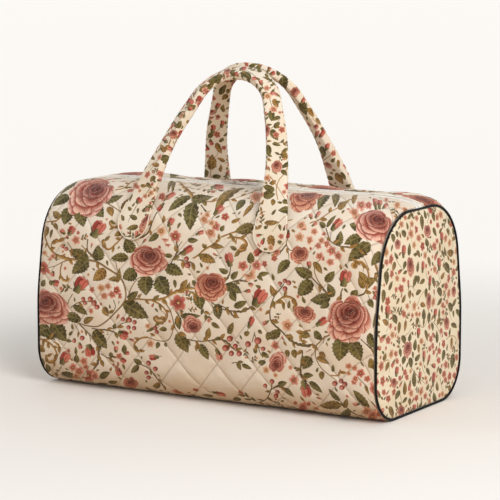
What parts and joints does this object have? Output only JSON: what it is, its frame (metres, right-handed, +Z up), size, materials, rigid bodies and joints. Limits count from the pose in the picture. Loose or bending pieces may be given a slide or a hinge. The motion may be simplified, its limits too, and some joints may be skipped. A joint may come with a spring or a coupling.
{
  "type": "quilted weekend bag",
  "caption": "Boxy quilted cotton weekend bag with piped ends, a two-way top zip and a pair of sewn padded handles.",
  "frame": {"origin": "middle of the base, on the surface the bag stands on", "axes": "+X along the bag to its right end as seen from the front, -Y out of the front panel, +Z up"},
  "size_m": [0.521, 0.2584, 0.4366],
  "materials": {
    "panel_quilt": "quilted cotton, cream ground with a floral print",
    "end_quilt": "cotton, cream ground with a small floral print",
    "handle_fabric": "padded cotton with a small floral print",
    "piping": "near-black corded piping",
    "binding": "plain cream cotton tape",
    "board": "stiff board",
    "zip_tape": "woven white tape",
    "zip_coil": "white nylon coil",
    "zip_metal": "pale satin metal"
  },
  "bodies": {
    "bag": {"front_panel": "panel_quilt", "back_panel": "panel_quilt", "left_end_panel": "end_quilt", "right_end_panel": "end_quilt", "front_handle": "handle_fabric", "back_handle": "handle_fabric", "left_piping": "piping", "right_piping": "piping", "left_seam_binding": "binding", "right_seam_binding": "binding", "base_board": "board", "front_zip_tape": "zip_tape", "back_zip_tape": "zip_tape", "front_zip_coil": "zip_coil", "back_zip_coil": "zip_coil", "left_zip_stop": "zip_metal", "right_zip_stop": "zip_metal"},
    "left_slider": {"left_zip_slider": "zip_metal"},
    "right_slider": {"right_zip_slider": "zip_metal"},
    "left_pull": {"left_zip_pull": "zip_metal"},
    "right_pull": {"right_zip_pull": "zip_metal"}
  },
  "joints": [
    {"name": "left_slider_slide", "type": "slide", "parent": "bag", "child": "left_slider", "axis": [-1, 0, 0], "range_m": [0, 0.163]},
    {"name": "right_slider_slide", "type": "slide", "parent": "bag", "child": "right_slider", "axis": [1, 0, 0], "range_m": [0, 0.183]},
    {"name": "left_pull_hinge", "type": "hinge", "parent": "left_slider", "child": "left_pull", "pos_m": [-0.01795, 0, 0.27895], "axis": [0, 1, 0], "range_deg": [0, 105]},
    {"name": "right_pull_hinge", "type": "hinge", "parent": "right_slider", "child": "right_pull", "pos_m": [-0.00205, 0, 0.27895], "axis": [0, -1, 0], "range_deg": [0, 105]}
  ]
}
